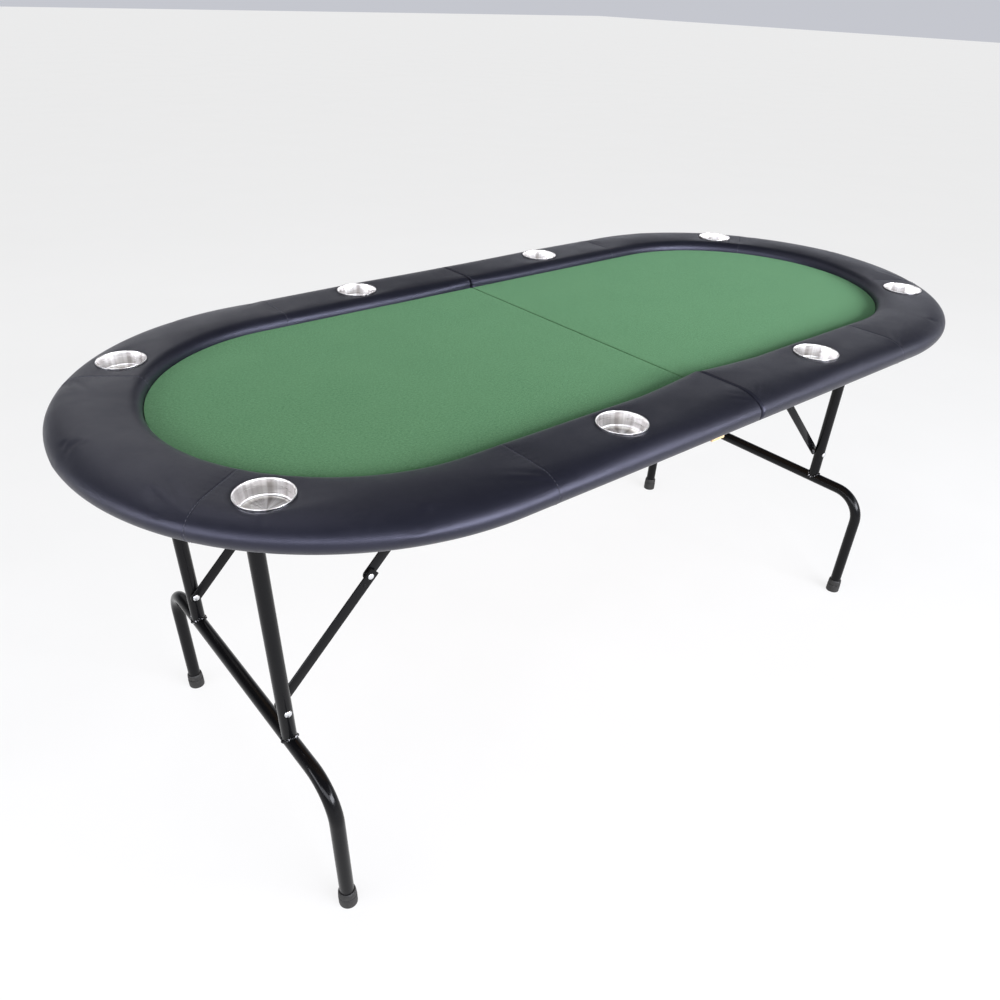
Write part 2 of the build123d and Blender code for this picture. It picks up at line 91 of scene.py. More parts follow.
BRACE_HIGH = Vector(JOINTS["right_far_upper_link_turn"]["pos_m"])
LEG_SLOPE = (PIVOT.x - BRACE_LOW.x) / (PIVOT.z - BRACE_LOW.z)
LEG_BASE_X = PIVOT.x - LEG_SLOPE * PIVOT.z
TUBE_RADIUS = 12 * MM
LEG_TILT_COSINE = 0.9995
CROSS_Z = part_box("leg_tube_right")[1].z - TUBE_RADIUS * LEG_TILT_COSINE
UPRIGHT_Y = 180 * MM
BEND_RADIUS = 65 * MM


# ---- Mesh helpers ----
def add_mesh(name, verts, faces, smooth=True):
    """Put a new mesh object in the scene."""
    mesh = bpy.data.meshes.new(name)
    mesh.from_pydata([tuple(v) for v in verts], [], faces)
    mesh.validate()
    if smooth:
        mesh.shade_smooth()
    obj = bpy.data.objects.new(name, mesh)
    scene.collection.objects.link(obj)
    return obj


def finish_piece(obj, body, slot, *nodes, material=None):
    """Give a piece its material, the body it moves with and the CAD nodes it stands for."""
    obj.data.materials.clear()
    obj.data.materials.append(MATERIALS[slot] if material is None else material)
    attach(obj, body)
    if nodes:
        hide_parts(*nodes)
    return obj


def face_outward(obj):
    """Turn every face of a closed mesh to look out."""
    bm = bmesh.new()
    bm.from_mesh(obj.data)
    bmesh.ops.recalc_face_normals(bm, faces=bm.faces)
    bm.to_mesh(obj.data)
    bm.free()
    return obj


def circle(radius, count):
    """Points evenly round a circle, as (x, y) pairs."""
    turns = [2 * math.pi * j / count for j in range(count)]
    return [(radius * math.cos(turn), radius * math.sin(turn)) for turn in turns]


class Builder:
    """Collects the points and faces of several closed shapes into one mesh."""

    def __init__(self):
        self.verts = []
        self.faces = []

    def add(self, verts, faces):
        start = len(self.verts)
        self.verts.extend(Vector(v) for v in verts)
        self.faces.extend(tuple(i + start for i in face) for face in faces)

    def rings(self, rings):
        """Join rings of equal length, with a flat cap at each end."""
        count = len(rings[0])
        verts = [p for ring in rings for p in ring]
        faces = []
        for i in range(len(rings) - 1):
            a, b = i * count, (i + 1) * count
            for j in range(count):
                k = (j + 1) % count
                faces.append((a + j, a + k, b + k, b + j))
        faces.append(tuple(reversed(range(count))))
        faces.append(tuple(range(len(verts) - count, len(verts))))
        self.add(verts, faces)

    def lathe(self, profile, place, segments=48):
        """Revolve (radius, height) points about local Z; the ends lie on the axis."""
        first, last = profile[0], profile[-1]
        body = profile[1:-1]
        verts = [place @ Vector((0, 0, first[1]))]
        for radius, height in body:
            verts += [place @ Vector((x, y, height)) for x, y in circle(radius, segments)]
        verts.append(place @ Vector((0, 0, last[1])))
        faces = []
        for j in range(segments):
            k = (j + 1) % segments
            faces.append((0, 1 + k, 1 + j))
            for i in range(len(body) - 1):
                a, b = 1 + i * segments, 1 + (i + 1) * segments
                faces.append((a + j, a + k, b + k, b + j))
            a = 1 + (len(body) - 1) * segments
            faces.append((a + j, a + k, len(verts) - 1))
        self.add(verts, faces)

    def plate(self, outline, place, thickness, edge=0.5 * MM):
        """A flat plate with softened edges, from a closed outline in local X and Y."""
        points = [Vector((x, y, 0)) for x, y in outline]
        count = len(points)
        inward = []
        for i in range(count):
            along = (points[(i + 1) % count] - points[i - 1]).normalized()
            inward.append(Vector((-along.y, along.x, 0)))
        rings = []
        rounding = ((edge, 0), (0.3 * edge, 0.3 * edge), (0, edge))
        levels = list(rounding) + [(inset, thickness - height) for inset, height in reversed(rounding)]
        for inset, height in levels:
            level = Vector((0, 0, height))
            rings.append([place @ (p + n * inset + level) for p, n in zip(points, inward)])
        self.rings(rings)

    def sweep(self, path, radius, segments=40):
        """A round bar along a list of points, with one radius or one for each point."""
        rings = []
        side = None
        for i, point in enumerate(path):
            before = path[max(i - 1, 0)]
            after = path[min(i + 1, len(path) - 1)]
            along = (after - before).normalized()
            if side is None:
                side = along.orthogonal().normalized()
            side = (side - along * side.dot(along)).normalized()
            other = along.cross(side)
            size = radius[i] if isinstance(radius, (list, tuple)) else radius
            rings.append([point + (side * x + other * y) * size for x, y in circle(1, segments)])
        self.rings(rings)

    def make(self, name, smooth_angle=None):
        obj = add_mesh(name, self.verts, self.faces)
        face_outward(obj)
        if smooth_angle is not None:
            obj.data.shade_smooth()
            sharpen(obj, smooth_angle)
        return obj


def sharpen(obj, angle):
    """Mark edges sharper than an angle, in degrees, so that flat faces shade flat."""
    bm = bmesh.new()
    bm.from_mesh(obj.data)
    limit = math.radians(angle)
    for edge in bm.edges:
        if len(edge.link_faces) == 2 and edge.calc_face_angle() > limit:
            edge.smooth = False
    bm.to_mesh(obj.data)
    bm.free()


def axes(origin, x_axis, z_axis):
    """A placement whose local Z is z_axis and whose local X lies along x_axis."""
    z = Vector(z_axis).normalized()
    x = Vector(x_axis)
    x = (x - z * x.dot(z)).normalized()
    y = z.cross(x)
    rotation = Matrix((x, y, z)).transposed().to_4x4()
    return Matrix.Translation(Vector(origin)) @ rotation


# ---- Materials ----
class Nodes:
    """Short names for building a node material."""

    def __init__(self, name):
        self.material = bpy.data.materials.new(name)
        self.material.use_nodes = True
        self.tree = self.material.node_tree
        self.shader = self.tree.nodes["Principled BSDF"]
        self.coords = self.new("TexCoord").outputs["Object"]

    def link(self, source, target):
        self.tree.links.new(source, target)

    def new(self, kind, **values):
        """Add a shader node and set some of its inputs."""
        node = self.tree.nodes.new(f"ShaderNode{kind}")
        for key, value in values.items():
            node.inputs[key.replace("_", " ")].default_value = value
        return node

    def set(self, **values):
        for key, value in values.items():
            self.shader.inputs[key.replace("_", " ")].default_value = value

    def mapped(self, scale):
        node = self.new("Mapping", Scale=scale)
        self.link(self.coords, node.inputs["Vector"])
        return node.outputs["Vector"]

    def noise(self, scale, detail=3.0, rough=0.55, vector=None):
        node = self.new("TexNoise", Scale=scale, Detail=detail, Roughness=rough)
        self.link(vector or self.coords, node.inputs["Vector"])
        return node.outputs["Fac"]

    def cells(self, scale, feature="DISTANCE_TO_EDGE"):
        node = self.new("TexVoronoi", Scale=scale)
        node.feature = feature
        self.link(self.coords, node.inputs["Vector"])
        return node.outputs["Distance"]

    def ramp(self, value, low, high, start=0.0, end=1.0):
        node = self.new("MapRange", From_Min=low, From_Max=high, To_Min=start, To_Max=end)
        self.link(value, node.inputs["Value"])
        return node.outputs["Result"]

    def math(self, operation, first, second):
        node = self.new("Math")
        node.operation = operation
        for socket, value in zip(node.inputs, (first, second)):
            if isinstance(value, (int, float)):
                socket.default_value = value
            else:
                self.link(value, socket)
        return node.outputs["Value"]

    def mix(self, factor, first, second):
        node = self.new("Mix")
        node.data_type = "RGBA"
        self.link(factor, node.inputs["Factor"])
        for socket, value in zip((node.inputs[6], node.inputs[7]), (first, second)):
            if isinstance(value, tuple):
                socket.default_value = (*value, 1)
            else:
                self.link(value, socket)
        return node.outputs[2]

    def colour(self, value):
        self.link(value, self.shader.inputs["Base Color"])

    def roughness(self, value):
        self.link(value, self.shader.inputs["Roughness"])

    def bump(self, height, distance, strength=1.0, after=None):
        node = self.new("Bump", Strength=strength, Distance=distance)
        self.link(height, node.inputs["Height"])
        if after is not None:
            self.link(after, node.inputs["Normal"])
        self.link(node.outputs["Normal"], self.shader.inputs["Normal"])
        return node.outputs["Normal"]


def vinyl():
    """Charcoal vinyl with a fine pebbled grain, soft creases and a dull bloom."""
    n = Nodes("black_vinyl")
    cloud = n.noise(5.0, 5.0, 0.6)
    scuff = n.noise(60.0, 6.0, 0.7, n.mapped((1.0, 1.6, 1.0)))
    base = n.mix(n.ramp(cloud, 0.3, 0.7), (0.0047, 0.0049, 0.0082), (0.0074, 0.0077, 0.0122))
    base = n.mix(n.ramp(scuff, 0.60, 0.85, 0.0, 0.35), base, (0.022, 0.023, 0.033))
    n.colour(base)
    n.roughness(n.ramp(n.noise(22.0, 5.0), 0.3, 0.7, 0.34, 0.43))
    n.set(Specular_IOR_Level=0.5, Specular_Tint=(0.75, 0.75, 1, 1), Sheen_Weight=0.015, Sheen_Roughness=0.4)
    creases = n.bump(n.noise(35.0, 3.0, 0.5), 0.35 * MM, 0.5)
    grain = n.ramp(n.cells(620.0), 0.0, 0.18)
    grain = n.bump(grain, 0.09 * MM, 0.8, creases)
    n.bump(n.noise(2400.0, 2.0), 0.03 * MM, 0.6, grain)
    return n.material


def felt():
    """Green playing cloth: a short combed nap, slightly mottled, with a pale fuzz."""
    n = Nodes("green_cloth")
    mottle = n.noise(9.0, 5.0, 0.6)
    nap = n.noise(250.0, 5.0, 0.78, n.mapped((1.0, 1.35, 1.0)))
    fibre = n.noise(1500.0, 3.0, 0.7, n.mapped((1.0, 0.45, 1.0)))
    base = n.mix(n.ramp(mottle, 0.3, 0.7), (0.027, 0.075, 0.027), (0.040, 0.096, 0.037))
    base = n.mix(n.ramp(nap, 0.38, 0.62), base, (0.074, 0.152, 0.072))
    base = n.mix(n.ramp(fibre, 0.50, 0.70, 0.0, 0.6), base, (0.098, 0.195, 0.092))
    n.colour(base)
    n.set(Roughness=0.95, Specular_IOR_Level=0.06, Sheen_Weight=0.28, Sheen_Roughness=0.5)
    n.set(Sheen_Tint=(0.45, 0.95, 0.52, 1))
    coarse = n.bump(nap, 0.9 * MM, 0.8)
    n.bump(fibre, 0.35 * MM, 0.8, coarse)
    return n.material


def enamel(name="black_steel", pale_specks=0.0):
    """Gloss black enamel on steel, with orange peel and fine dust."""
    n = Nodes(name)
    dust = n.noise(240.0, 5.0, 0.7)
    base = n.mix(n.ramp(dust, 0.62, 0.85, 0.0, 0.5), (0.0030, 0.0030, 0.0034), (0.024, 0.023, 0.022))
    # light grey specks mixed into the black colour, their share set by the argument
    if pale_specks:
        spots = n.noise(210.0, 4.0, 0.6)
        base = n.mix(n.ramp(spots, 0.56, 0.62, 0.0, pale_specks), base, (0.42, 0.42, 0.43))
    n.colour(base)
    n.roughness(n.ramp(n.noise(18.0, 4.0), 0.3, 0.7, 0.16, 0.26))
    n.set(Specular_IOR_Level=0.15, Coat_Weight=0.05, Coat_Roughness=0.08)
    n.bump(n.noise(420.0, 2.0), 0.05 * MM, 0.35)
    return n.material


def spun_steel():
    """Spun and polished steel: fan-shaped glints round the axis, turning marks, and painted reflections as
    grey-brown streaks in its colour.
    """
    n = Nodes("stainless")
    n.set(Metallic=1.0, Anisotropic=0.6)
    tangent = n.new("Tangent")
    tangent.direction_type = "RADIAL"
    tangent.axis = "Z"
    n.link(tangent.outputs["Tangent"], n.shader.inputs["Tangent"])
    spread = n.new("VectorMath")
    spread.operation = "NORMALIZE"
    n.link(n.mapped((1.0, 1.0, 0.0)), spread.inputs[0])
    # painted reflection: grey-brown streaks fanning round the axis stand in for the surroundings mirrored in
    # the polished cup; the fan glints themselves come from the anisotropy
    painted_reflections = n.noise(2.1, 3.0, 0.5, spread.outputs["Vector"])
    colour = n.mix(n.ramp(painted_reflections, 0.36, 0.56), (0.42, 0.395, 0.38), (0.93, 0.92, 0.91))
    turned = n.noise(30.0, 3.0, 0.6, n.mapped((0.5, 0.5, 30.0)))
    n.colour(n.mix(n.ramp(turned, 0.35, 0.75, 0.0, 0.2), colour, (0.80, 0.79, 0.78)))
    n.roughness(n.ramp(turned, 0.3, 0.7, 0.26, 0.36))
    n.bump(turned, 0.02 * MM, 0.25)
    return n.material


def zinc():
    """Dull zinc plating with small variations in its polish."""
    n = Nodes("zinc_steel")
    n.set(Metallic=1.0)
    n.colour(n.mix(n.ramp(n.noise(90.0, 4.0, 0.6), 0.3, 0.7), (0.64, 0.65, 0.67), (0.80, 0.81, 0.83)))
    grit = n.noise(700.0, 3.0, 0.6)
    n.roughness(n.ramp(grit, 0.3, 0.7, 0.24, 0.42))
    n.bump(grit, 0.03 * MM, 0.25)
    return n.material


def rubber():
    """Dull black rubber with a little dust on it."""
    n = Nodes("rubber")
    dust = n.ramp(n.noise(120.0, 5.0, 0.7), 0.5, 0.8)
    n.colour(n.mix(dust, (0.010, 0.0095, 0.009), (0.035, 0.032, 0.029)))
    n.roughness(n.ramp(n.noise(60.0), 0.3, 0.7, 0.45, 0.65))
    n.bump(n.noise(900.0, 3.0), 0.06 * MM, 0.6)
    return n.material


def wood(name, light, dark, rings, plies=0):
    """Timber with grain along X or Y; plies adds the stripes of plywood on its edges."""
    n = Nodes(name)
    stretch = n.mapped(rings)
    figure = n.noise(1.0, 6.0, 0.62, stretch)
    fine = n.noise(9.0, 4.0, 0.7, stretch)
    grain = n.math("ADD", n.math("MULTIPLY", figure, 0.7), n.math("MULTIPLY", fine, 0.3))
    base = n.mix(n.ramp(grain, 0.35, 0.65), light, dark)
    if plies:
        split = n.new("SeparateXYZ")
        n.link(n.coords, split.inputs[0])
        normal = n.new("NewGeometry")
        facing = n.new("SeparateXYZ")
        n.link(normal.outputs["Normal"], facing.inputs[0])
        upright = n.ramp(n.math("ABSOLUTE", facing.outputs["Z"], 0.0), 0.8, 0.6)
        wave = n.math("SINE", n.math("MULTIPLY", split.outputs["Z"], 2 * math.pi * plies), 0.0)
        stripe = n.math("MULTIPLY", n.ramp(wave, -0.3, 0.3), upright)
        base = n.mix(stripe, base, tuple(c * 0.45 for c in dark))
    n.colour(base)
    n.roughness(n.ramp(fine, 0.3, 0.7, 0.55, 0.75))
    n.set(Specular_IOR_Level=0.3)
    n.bump(grain, 0.25 * MM, 0.5)
    return n.material


def foam():
    """Pale open-celled foam."""
    n = Nodes("foam")
    n.colour(n.mix(n.ramp(n.noise(300.0), 0.3, 0.7), (0.55, 0.53, 0.46), (0.66, 0.64, 0.56)))
    n.set(Roughness=0.95)
    n.bump(n.cells(900.0, "F1"), 0.3 * MM, 0.8)
    return n.material


def thread():
    """Twisted grey thread of the seams."""
    n = Nodes("seam_thread")
    n.colour(n.mix(n.ramp(n.noise(900.0), 0.3, 0.7), (0.045, 0.046, 0.058), (0.11, 0.11, 0.135)))
    n.set(Roughness=0.7)
    n.bump(n.noise(2500.0, 2.0), 0.08 * MM, 0.8)
    return n.material


MATERIALS = {
    "black_vinyl": vinyl(),
    "green_cloth": felt(),
    "foam": foam(),
    "plywood": wood("plywood", (0.50, 0.33, 0.17), (0.36, 0.21, 0.10), (3.0, 70.0, 70.0), plies=330),
    "pine": wood("pine", (0.66, 0.47, 0.27), (0.50, 0.32, 0.16), (60.0, 4.0, 60.0)),
    "stainless": spun_steel(),
    "black_steel": enamel(),
    "rubber": rubber(),
    "zinc_steel": zinc(),
}
WELD = enamel("weld_bead", pale_specks=0.85)
THREAD = thread()


# ---- Padded rail ----
SEAM_X = 425 * MM
SEAM_ANGLE = 34.0
RAIL_LINE = INNER + 61.5 * MM
STRAIGHT = ARC_X - FOLD_X
ARC_LENGTH = math.pi * RAIL_LINE
RAIL_LENGTH = 2 * STRAIGHT + ARC_LENGTH
SEAMS = (
    SEAM_X - FOLD_X,
    STRAIGHT + math.radians(90 - SEAM_ANGLE) * RAIL_LINE,
    STRAIGHT + math.radians(90 + SEAM_ANGLE) * RAIL_LINE,
    RAIL_LENGTH - (SEAM_X - FOLD_X),
)
CREASES = {"left": (STRAIGHT + math.radians(136.2) * RAIL_LINE,), "right": ()}
SIM_STEP = 6.5 * MM
SIM_FRAMES = 20
FINE_STEP = 3.6 * MM
PROFILE_SIM = 48
PROFILE_FINE = 96
BULGE = 3.2 * MM
BULGE_CAP = 5.0 * MM
SHRINK = 1.0 * MM
WALL_ROUND = 3 * MM
INNER_WIDE, INNER_HIGH = 19 * MM, 18 * MM
CROWN_WIDE, CROWN_HIGH = 49 * MM, 25 * MM
UNDERCUT = 30 * MM
END_ROUND = {"left": 4.0 * MM, "right": 2.2 * MM}
END_GAP = 1.2 * MM
MEETING_GAP = 0.1 * MM
END_RISE = {"left": 3.4 * MM, "right": 2.6 * MM}
END_LEAN = {"left": 12.0 * MM, "right": 10.0 * MM}
SWELL_REACH = 150 * MM
SWELL_POWER = 1.25
FAR_SHARE = 0.2
PUCKER = 0.9 * MM
STITCH_LENGTH, STITCH_GAP, THREAD_RADIUS = 3.4 * MM, 2.2 * MM, 0.30 * MM
STITCH_START = 2 * MM
CUP_HOLE = 38.0 * MM
CUP_GRIP = 43 * MM
RIM_DIP = 1.0 * MM
RIM_DIP_WIDTH = 2.6 * MM


def run_lengths(line):
    """The distance of each point along a line from its first point."""
    return np.concatenate([[0], np.cumsum(np.linalg.norm(np.diff(line, axis=0), axis=1))])


def rail_profile(count):
    """Points round the vinyl's cross-section, from its inner lower edge to its outer one."""
    dense = [Vector((FRAME_INNER, UNDER))]
    for i in range(13):
        turn = math.radians(270 - 90 * i / 12)
        x = INNER + WALL_ROUND * (1 + math.cos(turn))
        dense.append(Vector((x, UNDER + WALL_ROUND * (1 + math.sin(turn)))))
    for i in range(1, 31):
        turn = math.radians(180 - 90 * i / 30)
        x = INNER + SHRINK + INNER_WIDE * (1 + math.cos(turn))
        dense.append(Vector((x, TOP - SHRINK - INNER_HIGH * (1 - math.sin(turn)))))
    shoulder = OUTER - CROWN_WIDE
    middle = TOP - CROWN_HIGH
    for i in range(1, 61):
        turn = math.radians(90 - 90 * i / 60)
        x = shoulder + (CROWN_WIDE - SHRINK) * math.cos(turn)
        dense.append(Vector((x, middle + (CROWN_HIGH - SHRINK) * math.sin(turn))))
    for i in range(1, 31):
        turn = math.radians(-90 * i / 30)
        x = OUTER - UNDERCUT + (UNDERCUT - SHRINK) * math.cos(turn)
        dense.append(Vector((x, middle + (middle - UNDER) * math.sin(turn))))
    dense.append(Vector((FRAME_OUTER, UNDER)))
    line = np.array([tuple(p) for p in dense])
    run = run_lengths(line)
    even = np.linspace(0, run[-1], count)
    return np.stack([np.interp(even, run, line[:, k]) for k in range(2)], axis=1)


def rail_station(side, s):
    """The rail's centre point and outward direction at a distance along it from the fold."""
    s = np.asarray(s, float)
    turn = np.clip((s - STRAIGHT) / RAIL_LINE, 0, math.pi)
    direction = np.stack([side * np.sin(turn), np.cos(turn)], axis=-1)
    far_x = FOLD_X + np.minimum(s, STRAIGHT)
    near_x = FOLD_X + np.maximum(RAIL_LENGTH - s, 0)
    x = np.where(s < STRAIGHT + ARC_LENGTH / 2, far_x, np.minimum(near_x, ARC_X))
    return np.stack([side * x, np.zeros_like(x)], axis=-1), direction


def rail_grid(side, stations, profile):
    """The rail's plain surface as an array of (station, profile point, xyz)."""
    centre, out = rail_station(side, stations)
    radius = profile[None, :, 0]
    x = centre[:, None, 0] + out[:, None, 0] * radius
    y = centre[:, None, 1] + out[:, None, 1] * radius
    z = np.broadcast_to(profile[None, :, 1], x.shape)
    return np.stack([x, y, z], axis=-1)


def grid_faces(rows, columns):
    """The four-sided faces of a grid of points numbered row by row."""
    index = np.arange(rows * columns).reshape(rows, columns)
    corners = (index[:-1, :-1], index[1:, :-1], index[1:, 1:], index[:-1, 1:])
    return np.stack([c.ravel() for c in corners], axis=-1).tolist()


def grid_normals(grid, side):
    """Unit normals of the rail's surface, pointing out of the padding."""
    along = np.gradient(grid, axis=0)
    across = np.gradient(grid, axis=1)
    normal = np.cross(along, across) * side
    return normal / np.maximum(np.linalg.norm(normal, axis=-1, keepdims=True), 1e-12)


def smoothstep(value, low, high):
    """Ease from 0 at low to 1 at high."""
    t = np.clip((value - low) / (high - low), 0, 1)
    return t * t * (3 - 2 * t)


def resample(grid, places):
    """Catmull-Rom values of a grid at fractional row numbers."""
    rows = len(grid)
    i = np.clip(np.floor(places).astype(int), 0, rows - 2)
    t = (places - i)[:, None, None]
    p0, p1 = grid[np.maximum(i - 1, 0)], grid[i]
    p2, p3 = grid[i + 1], grid[np.minimum(i + 2, rows - 1)]
    return 0.5 * (
        2 * p1 + (p2 - p0) * t + (2 * p0 - 5 * p1 + 4 * p2 - p3) * t**2
        + (3 * p1 - p0 - 3 * p2 + p3) * t**3
    )


def cup_centres(side_name):
    """The middle of each CAD cup of one half, with its place name."""
    centres = []
    for place in ("inner_near", "inner_far", "end_near", "end_far"):
        low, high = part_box(f"cup_holder_{side_name}_{place}")
        centres.append(((low + high) / 2, place))
    return centres


def rail_pins(side_name, grid, stations, profile):
    """How firmly each point of the vinyl is held: edges, fold ends, seams and cup rims."""
    pins = np.zeros(grid.shape[:2])
    held = profile[:, 1] < UNDER + 4 * MM
    wall = (profile[:, 0] < INNER + 4 * MM) & (profile[:, 1] < CLOTH_Z + 1 * MM)
    pins[:, held | wall] = 1
    pins[:2], pins[-2:] = 1, 1
    for seam in SEAMS:
        near = np.abs(stations - seam) < SIM_STEP * 0.55
        pins[near] = np.maximum(pins[near], 0.9)
    for centre, _ in cup_centres(side_name):
        reach = np.hypot(grid[..., 0] - centre.x, grid[..., 1] - centre.y)
        grip = (reach < CUP_GRIP) & (grid[..., 2] > TOP - 10 * MM)
        pins[grip] = 1
    return pins


def inflate(grid, pins, side):
    """Cloth simulation of the vinyl skin, blown out from inside by the foam."""
    faces = grid_faces(*grid.shape[:2])
    skin = add_mesh("skin", grid.reshape(-1, 3), [face[::side] for face in faces])
    group = skin.vertex_groups.new(name="held")
    flat = pins.ravel()
    for weight in sorted(set(flat.tolist())):
        group.add(np.flatnonzero(flat == weight).tolist(), weight, "REPLACE")
    cloth = skin.modifiers.new("cloth", "CLOTH")
    settings = cloth.settings
    settings.quality = 5
    settings.mass = 0.4
    settings.tension_stiffness = 30
    settings.compression_stiffness = 30
    settings.shear_stiffness = 12
    settings.bending_stiffness = 2.0
    settings.use_pressure = True
    settings.uniform_pressure_force = 4
    settings.vertex_group_mass = "held"
    settings.effector_weights.gravity = 0
    cloth.point_cache.frame_start = 1
    cloth.point_cache.frame_end = SIM_FRAMES
    for step in range(1, SIM_FRAMES + 1):
        scene.frame_set(step)
    shaped = skin.evaluated_get(bpy.context.evaluated_depsgraph_get())
    points = np.zeros(len(flat) * 3, np.float32)
    shaped.data.vertices.foreach_get("co", points)
    scene.frame_set(1)
    bpy.data.objects.remove(skin)
    return points.reshape(grid.shape).astype(float)


def fine_stations():
    """Stations for the finished rail, closer together at each seam."""
    stations = list(np.linspace(0, RAIL_LENGTH, int(RAIL_LENGTH / FINE_STEP) + 1))
    offsets = np.array((-4.2, -3.0, -2.0, -1.3, -0.7, 0, 0.7, 1.3, 2.0, 3.0, 4.2)) * MM
    for seam in SEAMS:
        stations = [s for s in stations if abs(s - seam) > 5.2 * MM]
        stations += list(seam + offsets)
    return np.array(sorted(stations))


def swell_ends(grid, stations, profile, side_name):
    """Raise the padding and lean it in over the cloth where it is bunched up at the fold."""
    share = np.clip(1 - (RAIL_LENGTH - stations) / SWELL_REACH, 0, 1) ** SWELL_POWER
    share = share + FAR_SHARE * np.clip(1 - stations / SWELL_REACH, 0, 1) ** SWELL_POWER
    top = smoothstep(profile[:, 1], CLOTH_Z, TOP)
    top = top * (1 - smoothstep(profile[:, 0], OUTER - 60 * MM, OUTER))
    inner = smoothstep(profile[:, 1], CLOTH_Z, TOP - 4 * MM)
    inner = inner * (1 - smoothstep(profile[:, 0], INNER + 8 * MM, INNER + 60 * MM))
    grid = grid.copy()
    grid[..., 2] += END_RISE[side_name] * share[:, None] * top[None, :]
    grid[..., 1] -= END_LEAN[side_name] * np.sign(grid[..., 1]) * share[:, None] * inner[None, :]
    return grid


def pucker(grid, normals, stations, profile):
    """Short creases in the vinyl's inner face at the far end of the fold."""
    fade = np.exp(-stations / (9 * MM))
    wave = np.cos(np.arange(len(profile)) * math.pi / 2) - 1
    inner = (profile[:, 0] < INNER + 24 * MM) & (profile[:, 1] > CLOTH_Z)
    return grid + normals * (PUCKER * fade[:, None] * (wave * inner)[None, :])[..., None]


def sink_rims(grid, side_name):
    """Press the vinyl down a little round each cup's rim."""
    grid = grid.copy()
    for centre, _ in cup_centres(side_name):
        reach = np.hypot(grid[..., 0] - centre.x, grid[..., 1] - centre.y)
        dip = RIM_DIP * np.exp(-((np.maximum(reach - CUP_HOLE, 0) / RIM_DIP_WIDTH) ** 2))
        grid[..., 2] -= dip * (grid[..., 2] > TOP - 15 * MM)
    return grid


def soften_end(grid, normals, stations, profile, round_off):
    """Round the vinyl over at the fold and draw it in towards the wooden frame."""
    pull = smoothstep(profile[:, 1], UNDER + 2 * MM, UNDER + 22 * MM)
    for from_end in (stations, RAIL_LENGTH - stations):
        depth = np.clip(round_off - from_end, 0, round_off)
        inset = round_off - np.sqrt(np.maximum(round_off**2 - depth**2, 0))
        grid = grid - normals * (inset[:, None] * pull[None, :])[..., None]
        recess = END_GAP * (1 - smoothstep(from_end, 0, 1.5 * round_off))
        grid[..., 0] += np.sign(grid[..., 0]) * recess[:, None] * pull[None, :]
        meeting = (FOLD_X - MEETING_GAP) * (1 - smoothstep(from_end, 0, 10 * MM))
        grid[..., 0] -= np.sign(grid[..., 0]) * meeting[:, None] * (1 - pull)[None, :]
    return grid


def stitched(grid, normals, stations, profile, side_name, seed):
    """Sew the seams, a narrow valley with raised lips and fading puckers, and press the creases."""
    run = np.arange(len(profile)) * 3.3 * MM
    shown = smoothstep(profile[:, 1], UNDER, UNDER + 12 * MM)
    rng = np.random.default_rng(seed)
    for seam in SEAMS:
        away = stations - seam
        valley = -0.32 * MM * np.exp(-((away / (1.3 * MM)) ** 2))
        lips = 0.12 * MM * np.exp(-(((np.abs(away) - 3.2 * MM) / (1.8 * MM)) ** 2))
        phase = rng.uniform(0, 2 * math.pi, 2)
        ripple = np.sin(run / (9 * MM) * math.pi + phase[0])
        ripple = ripple + 0.6 * np.sin(run / (5.3 * MM) * math.pi + phase[1])
        fade = np.exp(-np.abs(away) / (9 * MM)) * (1 - np.exp(-((away / (2 * MM)) ** 2)))
        shift = (valley + lips)[:, None] + 0.16 * MM * fade[:, None] * ripple[None, :]
        grid = grid + normals * (shift * shown[None, :])[..., None]
    outer = smoothstep(profile[:, 0], OUTER - 48 * MM, OUTER - 30 * MM)
    for crease in CREASES[side_name]:
        valley = -0.6 * MM * np.exp(-(((stations - crease) / (2.6 * MM)) ** 2))
        grid = grid + normals * (valley[:, None] * (outer * shown)[None, :])[..., None]
    return grid


def close_rail(name, grid):
    """Add the hollow under the padding, where the wooden frame sits, and both end faces."""
    rows, columns = grid.shape[:2]
    verts = grid.reshape(-1, 3)
    faces = grid_faces(rows, columns)
    inner, outer = grid[:, 0].copy(), grid[:, -1].copy()
    inner[:, 2] = outer[:, 2] = FRAME_TOP
    base = len(verts)
    verts = np.concatenate([verts, inner, outer])
    for i in range(rows - 1):
        a, b = i * columns, (i + 1) * columns
        low_in, low_out = base + i, base + rows + i
        faces.append((a, low_in, low_in + 1, b))
        faces.append((low_in, low_out, low_out + 1, low_in + 1))
        faces.append((a + columns - 1, b + columns - 1, low_out + 1, low_out))
    for i in (0, rows - 1):
        ring = [i * columns + j for j in range(columns)] + [base + rows + i, base + i]
        faces.append(tuple(ring))
    return face_outward(add_mesh(name, verts, faces))


def bore_cups(rail, side_name):
    """Cut the holes that the cup holders drop into."""
    cutter = Builder()
    for centre, _ in cup_centres(side_name):
        rings = []
        for height in (UNDER - 5 * MM, TOP + 12 * MM):
            hole = circle(CUP_HOLE, 72)
            rings.append([Vector((centre.x + x, centre.y + y, height)) for x, y in hole])
        cutter.rings(rings)
    tool = cutter.make("cup_bores")
    cut = rail.modifiers.new("bore", "BOOLEAN")
    cut.operation = "DIFFERENCE"
    cut.object = tool
    cut.solver = "EXACT"
    bpy.context.view_layer.update()
    shaped = rail.evaluated_get(bpy.context.evaluated_depsgraph_get())
    mesh = bpy.data.meshes.new_from_object(shaped)
    rail.modifiers.clear()
    rail.data = mesh
    bpy.data.objects.remove(tool)


